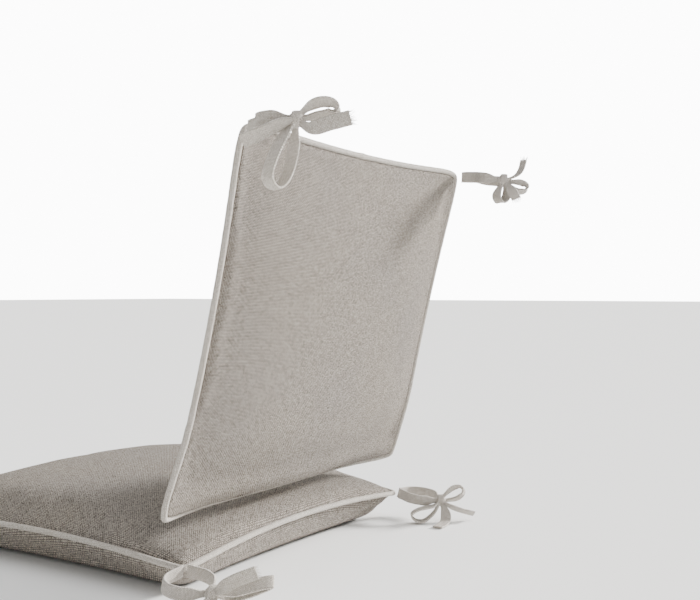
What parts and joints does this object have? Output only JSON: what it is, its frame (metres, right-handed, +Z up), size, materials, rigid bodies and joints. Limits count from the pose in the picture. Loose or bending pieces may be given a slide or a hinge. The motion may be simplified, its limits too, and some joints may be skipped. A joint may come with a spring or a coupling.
{
  "type": "tie-on chair cushion set",
  "caption": "Piped seat cushion and matching back cushion for a ladder-back chair, each tied round the rear posts with fabric bows, with zipped covers and loose inserts.",
  "frame": {"origin": "middle of the seat cushion's flat underside", "axes": "+Z up from the chair's seat; -Y the way the sitter faces; +X to the sitter's left, across the set's plane of symmetry"},
  "size_m": [0.5032, 0.6298, 0.4581],
  "materials": {
    "cover_fabric": "matte",
    "piping_fabric": "matte",
    "tie_fabric": "matte",
    "insert_ticking": "matte",
    "zip_tape": "matte",
    "zip_coil": "satin",
    "zip_metal": "satin"
  },
  "bodies": {
    "seat_cushion": {"seat_top_panel": "cover_fabric", "seat_bottom_front_panel": "cover_fabric", "seat_bottom_rear_panel": "cover_fabric", "seat_piping": "piping_fabric", "seat_insert": "insert_ticking", "seat_zip_tape_a": "zip_tape", "seat_zip_tape_b": "zip_tape", "seat_zip_coil_a": "zip_coil", "seat_zip_coil_b": "zip_coil", "seat_zip_stop_closed": "zip_metal", "seat_zip_stop_open": "zip_metal", "tie_top_left_knot": "tie_fabric", "tie_top_left_outer_ring": "tie_fabric", "tie_top_left_outer_loop": "tie_fabric", "tie_top_left_outer_tail": "tie_fabric", "tie_top_left_inner_ring": "tie_fabric", "tie_top_left_inner_loop": "tie_fabric", "tie_top_left_inner_tail": "tie_fabric", "tie_top_right_knot": "tie_fabric", "tie_top_right_outer_ring": "tie_fabric", "tie_top_right_outer_loop": "tie_fabric", "tie_top_right_outer_tail": "tie_fabric", "tie_top_right_inner_ring": "tie_fabric", "tie_top_right_inner_loop": "tie_fabric", "tie_top_right_inner_tail": "tie_fabric", "tie_seat_left_knot": "tie_fabric", "tie_seat_left_outer_ring": "tie_fabric", "tie_seat_left_outer_loop": "tie_fabric", "tie_seat_left_outer_tail": "tie_fabric", "tie_seat_left_inner_ring": "tie_fabric", "tie_seat_left_inner_loop": "tie_fabric", "tie_seat_left_inner_tail": "tie_fabric", "tie_seat_right_knot": "tie_fabric", "tie_seat_right_outer_ring": "tie_fabric", "tie_seat_right_outer_loop": "tie_fabric", "tie_seat_right_outer_tail": "tie_fabric", "tie_seat_right_inner_ring": "tie_fabric", "tie_seat_right_inner_loop": "tie_fabric", "tie_seat_right_inner_tail": "tie_fabric"},
    "back_cushion": {"back_front_panel": "cover_fabric", "back_rear_panel": "cover_fabric", "back_piping": "piping_fabric", "back_insert": "insert_ticking", "back_zip_tape_a": "zip_tape", "back_zip_tape_b": "zip_tape", "back_zip_coil_a": "zip_coil", "back_zip_coil_b": "zip_coil", "back_zip_stop_closed": "zip_metal", "back_zip_stop_open": "zip_metal"},
    "seat_zip_slider": {"seat_zip_slider": "zip_metal"},
    "seat_zip_pull": {"seat_zip_pull": "zip_metal"},
    "back_zip_slider": {"back_zip_slider": "zip_metal"},
    "back_zip_pull": {"back_zip_pull": "zip_metal"}
  },
  "joints": [
    {"name": "back_cushion_lift", "type": "hinge", "parent": "seat_cushion", "child": "back_cushion", "pos_m": [0, 0.29904, 0.44144], "axis": [-1, 0, 0], "range_deg": [0, 80]},
    {"name": "seat_zip_slide", "type": "slide", "parent": "seat_cushion", "child": "seat_zip_slider", "axis": [-1, 0, 0], "range_m": [0, 0.261]},
    {"name": "seat_zip_pull_swing", "type": "hinge", "parent": "seat_zip_slider", "child": "seat_zip_pull", "pos_m": [0.1325, 0.112, 0.00205], "axis": [0, -1, 0], "range_deg": [0, 120]},
    {"name": "back_zip_slide", "type": "slide", "parent": "back_cushion", "child": "back_zip_slider", "axis": [-1, 0, 0], "range_m": [0, 0.155]},
    {"name": "back_zip_pull_swing", "type": "hinge", "parent": "back_zip_slider", "child": "back_zip_pull", "pos_m": [0.0795, 0.19231, 0.08306], "axis": [0, -0.9694, -0.2453], "range_deg": [0, 50]}
  ]
}
